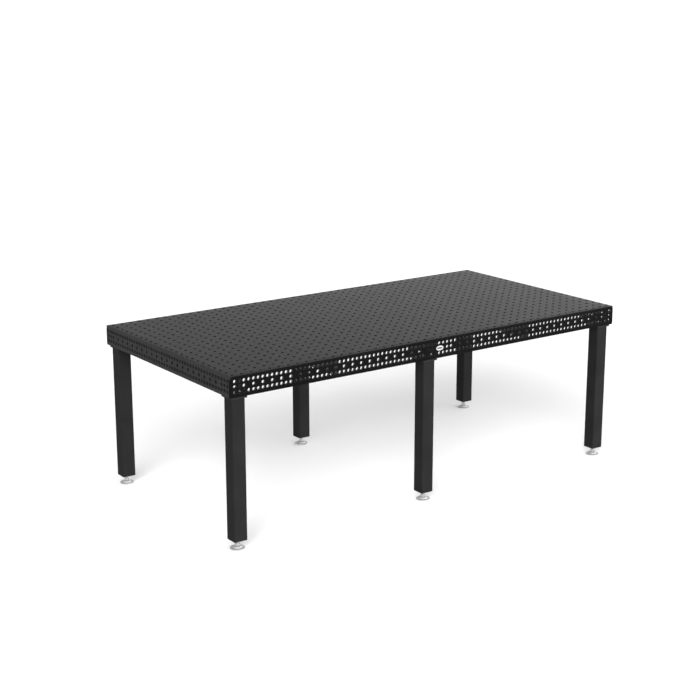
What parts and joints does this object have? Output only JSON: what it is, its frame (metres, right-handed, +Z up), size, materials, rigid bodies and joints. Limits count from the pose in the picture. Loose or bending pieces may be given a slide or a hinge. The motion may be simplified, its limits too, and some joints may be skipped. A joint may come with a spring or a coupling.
{
  "type": "welding table",
  "caption": "Rectangular perforated steel welding table with deep drilled side walls, ribbed underside and square-tube legs on swivelling screw feet.",
  "frame": {"origin": "on the floor, under the middle of the table top", "axes": "+X along the long side, +Y from the badge side to the rear long side, +Z up"},
  "size_m": [2.4, 1.201, 0.84],
  "materials": {
    "nitrided_top": "plasma nitrided dark grey, satin",
    "nitrided_walls": "plasma nitrided dark grey, satin",
    "rib_steel": "nitrided plate with weld beads",
    "leg_coating": "matt black powder coat",
    "zinc_steel": "bright zinc plated steel",
    "seat_bronze": "plain bronze",
    "badge_metal": "bright anodised, blank",
    "black_screws": "black oxide"
  },
  "bodies": {
    "table": {"top_plate": "nitrided_top", "front_wall": "nitrided_walls", "rear_wall": "nitrided_walls", "left_wall": "nitrided_walls", "right_wall": "nitrided_walls", "badge_plate": "badge_metal", "cross_rib_left": "rib_steel", "cross_rib_middle": "rib_steel", "cross_rib_right": "rib_steel", "long_rib_front": "rib_steel", "long_rib_rear": "rib_steel", "mounting_plates": "rib_steel", "corner_posts": "rib_steel", "leg_screws": "black_screws", "leg_head_plate_front_left": "leg_coating", "leg_head_plate_front_middle": "leg_coating", "leg_head_plate_front_right": "leg_coating", "leg_head_plate_rear_left": "leg_coating", "leg_head_plate_rear_middle": "leg_coating", "leg_head_plate_rear_right": "leg_coating", "leg_tube_front_left": "leg_coating", "leg_tube_front_middle": "leg_coating", "leg_tube_front_right": "leg_coating", "leg_tube_rear_left": "leg_coating", "leg_tube_rear_middle": "leg_coating", "leg_tube_rear_right": "leg_coating", "leg_nut_plate_front_left": "leg_coating", "leg_nut_plate_front_middle": "leg_coating", "leg_nut_plate_front_right": "leg_coating", "leg_nut_plate_rear_left": "leg_coating", "leg_nut_plate_rear_middle": "leg_coating", "leg_nut_plate_rear_right": "leg_coating"},
    "front_left_ball": {"foot_ball_front_left": "zinc_steel"},
    "front_left_spindle": {"foot_spindle_front_left": "zinc_steel"},
    "front_left_seat": {"foot_seat_front_left": "seat_bronze"},
    "front_left_pad": {"foot_pad_front_left": "zinc_steel"},
    "front_middle_ball": {"foot_ball_front_middle": "zinc_steel"},
    "front_middle_spindle": {"foot_spindle_front_middle": "zinc_steel"},
    "front_middle_seat": {"foot_seat_front_middle": "seat_bronze"},
    "front_middle_pad": {"foot_pad_front_middle": "zinc_steel"},
    "front_right_ball": {"foot_ball_front_right": "zinc_steel"},
    "front_right_spindle": {"foot_spindle_front_right": "zinc_steel"},
    "front_right_seat": {"foot_seat_front_right": "seat_bronze"},
    "front_right_pad": {"foot_pad_front_right": "zinc_steel"},
    "rear_left_ball": {"foot_ball_rear_left": "zinc_steel"},
    "rear_left_spindle": {"foot_spindle_rear_left": "zinc_steel"},
    "rear_left_seat": {"foot_seat_rear_left": "seat_bronze"},
    "rear_left_pad": {"foot_pad_rear_left": "zinc_steel"},
    "rear_middle_ball": {"foot_ball_rear_middle": "zinc_steel"},
    "rear_middle_spindle": {"foot_spindle_rear_middle": "zinc_steel"},
    "rear_middle_seat": {"foot_seat_rear_middle": "seat_bronze"},
    "rear_middle_pad": {"foot_pad_rear_middle": "zinc_steel"},
    "rear_right_ball": {"foot_ball_rear_right": "zinc_steel"},
    "rear_right_spindle": {"foot_spindle_rear_right": "zinc_steel"},
    "rear_right_seat": {"foot_seat_rear_right": "seat_bronze"},
    "rear_right_pad": {"foot_pad_rear_right": "zinc_steel"}
  },
  "joints": [
    {"name": "front_left_foot_height", "type": "slide", "parent": "table", "child": "front_left_ball", "axis": [0, 0, -1], "range_m": [-0.02, 0.03]},
    {"name": "front_left_foot_turn", "type": "hinge", "parent": "front_left_ball", "child": "front_left_spindle", "pos_m": [-1.147, -0.547, 0.0115], "axis": [0, 0, -1], "range_deg": [-3600, 5400]},
    {"name": "front_left_foot_tilt_x", "type": "hinge", "parent": "front_left_ball", "child": "front_left_seat", "pos_m": [-1.147, -0.547, 0.0115], "axis": [1, 0, 0], "range_deg": [-8, 8]},
    {"name": "front_left_foot_tilt_y", "type": "hinge", "parent": "front_left_seat", "child": "front_left_pad", "pos_m": [-1.147, -0.547, 0.0115], "axis": [0, 1, 0], "range_deg": [-8, 8]},
    {"name": "front_middle_foot_height", "type": "slide", "parent": "table", "child": "front_middle_ball", "axis": [0, 0, -1], "range_m": [-0.02, 0.03]},
    {"name": "front_middle_foot_turn", "type": "hinge", "parent": "front_middle_ball", "child": "front_middle_spindle", "pos_m": [-0.05, -0.547, 0.0115], "axis": [0, 0, -1], "range_deg": [-3600, 5400]},
    {"name": "front_middle_foot_tilt_x", "type": "hinge", "parent": "front_middle_ball", "child": "front_middle_seat", "pos_m": [-0.05, -0.547, 0.0115], "axis": [1, 0, 0], "range_deg": [-8, 8]},
    {"name": "front_middle_foot_tilt_y", "type": "hinge", "parent": "front_middle_seat", "child": "front_middle_pad", "pos_m": [-0.05, -0.547, 0.0115], "axis": [0, 1, 0], "range_deg": [-8, 8]},
    {"name": "front_right_foot_height", "type": "slide", "parent": "table", "child": "front_right_ball", "axis": [0, 0, -1], "range_m": [-0.02, 0.03]},
    {"name": "front_right_foot_turn", "type": "hinge", "parent": "front_right_ball", "child": "front_right_spindle", "pos_m": [1.147, -0.547, 0.0115], "axis": [0, 0, -1], "range_deg": [-3600, 5400]},
    {"name": "front_right_foot_tilt_x", "type": "hinge", "parent": "front_right_ball", "child": "front_right_seat", "pos_m": [1.147, -0.547, 0.0115], "axis": [1, 0, 0], "range_deg": [-8, 8]},
    {"name": "front_right_foot_tilt_y", "type": "hinge", "parent": "front_right_seat", "child": "front_right_pad", "pos_m": [1.147, -0.547, 0.0115], "axis": [0, 1, 0], "range_deg": [-8, 8]},
    {"name": "rear_left_foot_height", "type": "slide", "parent": "table", "child": "rear_left_ball", "axis": [0, 0, -1], "range_m": [-0.02, 0.03]},
    {"name": "rear_left_foot_turn", "type": "hinge", "parent": "rear_left_ball", "child": "rear_left_spindle", "pos_m": [-1.147, 0.547, 0.0115], "axis": [0, 0, -1], "range_deg": [-3600, 5400]},
    {"name": "rear_left_foot_tilt_x", "type": "hinge", "parent": "rear_left_ball", "child": "rear_left_seat", "pos_m": [-1.147, 0.547, 0.0115], "axis": [1, 0, 0], "range_deg": [-8, 8]},
    {"name": "rear_left_foot_tilt_y", "type": "hinge", "parent": "rear_left_seat", "child": "rear_left_pad", "pos_m": [-1.147, 0.547, 0.0115], "axis": [0, 1, 0], "range_deg": [-8, 8]},
    {"name": "rear_middle_foot_height", "type": "slide", "parent": "table", "child": "rear_middle_ball", "axis": [0, 0, -1], "range_m": [-0.02, 0.03]},
    {"name": "rear_middle_foot_turn", "type": "hinge", "parent": "rear_middle_ball", "child": "rear_middle_spindle", "pos_m": [-0.05, 0.547, 0.0115], "axis": [0, 0, -1], "range_deg": [-3600, 5400]},
    {"name": "rear_middle_foot_tilt_x", "type": "hinge", "parent": "rear_middle_ball", "child": "rear_middle_seat", "pos_m": [-0.05, 0.547, 0.0115], "axis": [1, 0, 0], "range_deg": [-8, 8]},
    {"name": "rear_middle_foot_tilt_y", "type": "hinge", "parent": "rear_middle_seat", "child": "rear_middle_pad", "pos_m": [-0.05, 0.547, 0.0115], "axis": [0, 1, 0], "range_deg": [-8, 8]},
    {"name": "rear_right_foot_height", "type": "slide", "parent": "table", "child": "rear_right_ball", "axis": [0, 0, -1], "range_m": [-0.02, 0.03]},
    {"name": "rear_right_foot_turn", "type": "hinge", "parent": "rear_right_ball", "child": "rear_right_spindle", "pos_m": [1.147, 0.547, 0.0115], "axis": [0, 0, -1], "range_deg": [-3600, 5400]},
    {"name": "rear_right_foot_tilt_x", "type": "hinge", "parent": "rear_right_ball", "child": "rear_right_seat", "pos_m": [1.147, 0.547, 0.0115], "axis": [1, 0, 0], "range_deg": [-8, 8]},
    {"name": "rear_right_foot_tilt_y", "type": "hinge", "parent": "rear_right_seat", "child": "rear_right_pad", "pos_m": [1.147, 0.547, 0.0115], "axis": [0, 1, 0], "range_deg": [-8, 8]}
  ],
  "couplings": [
    {"joint": "front_left_foot_turn", "follows": "front_left_foot_height", "rad_per_m": 3141.6},
    {"joint": "front_middle_foot_turn", "follows": "front_middle_foot_height", "rad_per_m": 3141.6},
    {"joint": "front_right_foot_turn", "follows": "front_right_foot_height", "rad_per_m": 3141.6},
    {"joint": "rear_left_foot_turn", "follows": "rear_left_foot_height", "rad_per_m": 3141.6},
    {"joint": "rear_middle_foot_turn", "follows": "rear_middle_foot_height", "rad_per_m": 3141.6},
    {"joint": "rear_right_foot_turn", "follows": "rear_right_foot_height", "rad_per_m": 3141.6}
  ]
}
